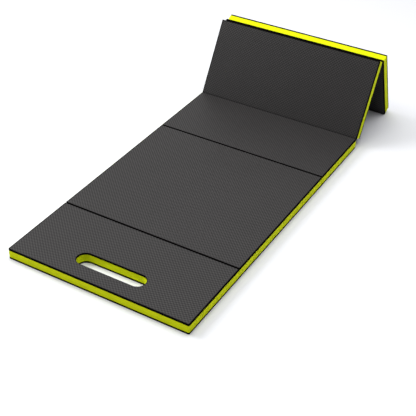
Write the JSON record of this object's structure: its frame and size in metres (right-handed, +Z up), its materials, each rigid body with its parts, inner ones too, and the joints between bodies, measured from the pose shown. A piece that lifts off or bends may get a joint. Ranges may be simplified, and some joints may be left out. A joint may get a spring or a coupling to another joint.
{
  "type": "kneeling pad",
  "caption": "Folding foam kneeling pad: flat rectangular panels with embossed skins, hinged end to end in an accordion fold, with a hand slot through the first panel.",
  "frame": {"origin": "middle of the underside of the box round the pad as it rests, four panels flat on the floor and two standing as a tent", "axes": "+X across the pad, +Y along it from the hand-slot end to the tent end, +Z up"},
  "size_m": [0.54, 1.2214, 0.2392],
  "materials": {
    "core_foam": "matt cut closed-cell foam",
    "skin_foam": "matt foam embossed with a fine diamond grip"
  },
  "bodies": {
    "panel_1": {"panel_1_core": "core_foam", "panel_1_top_skin": "skin_foam", "panel_1_base_skin": "skin_foam", "fold_1_2_strip": "skin_foam"},
    "panel_2": {"panel_2_core": "core_foam", "panel_2_top_skin": "skin_foam", "panel_2_base_skin": "skin_foam"},
    "panel_3": {"panel_3_core": "core_foam", "panel_3_top_skin": "skin_foam", "panel_3_base_skin": "skin_foam", "fold_2_3_strip": "skin_foam"},
    "panel_4": {"panel_4_core": "core_foam", "panel_4_top_skin": "skin_foam", "panel_4_base_skin": "skin_foam", "fold_3_4_strip": "skin_foam"},
    "panel_5": {"panel_5_core": "core_foam", "panel_5_top_skin": "skin_foam", "panel_5_base_skin": "skin_foam", "fold_4_5_strip": "skin_foam"},
    "panel_6": {"panel_6_core": "core_foam", "panel_6_top_skin": "skin_foam", "panel_6_base_skin": "skin_foam", "fold_5_6_strip": "skin_foam"}
  },
  "joints": [
    {"name": "fold_1_2", "type": "hinge", "parent": "panel_2", "child": "panel_1", "pos_m": [0, -0.37166, -0.0005], "axis": [1, 0, 0], "range_deg": [0, 179.9], "deforming": ["fold_1_2_strip"]},
    {"name": "fold_2_3", "type": "hinge", "parent": "panel_2", "child": "panel_3", "pos_m": [0, -0.13166, 0.0325], "axis": [1, 0, 0], "range_deg": [0, 179.9], "deforming": ["fold_2_3_strip"]},
    {"name": "fold_3_4", "type": "hinge", "parent": "panel_3", "child": "panel_4", "pos_m": [0, 0.10834, -0.0005], "axis": [-1, 0, 0], "range_deg": [0, 179.9], "deforming": ["fold_3_4_strip"]},
    {"name": "fold_4_5", "type": "hinge", "parent": "panel_4", "child": "panel_5", "pos_m": [0, 0.34834, 0.0325], "axis": [1, 0, 0], "range_deg": [-60, 119.9], "deforming": ["fold_4_5_strip"]},
    {"name": "fold_5_6", "type": "hinge", "parent": "panel_5", "child": "panel_6", "pos_m": [0, 0.49692, 0.22385], "axis": [-1, 0, 0], "range_deg": [-129.61, 50.29], "deforming": ["fold_5_6_strip"]}
  ]
}
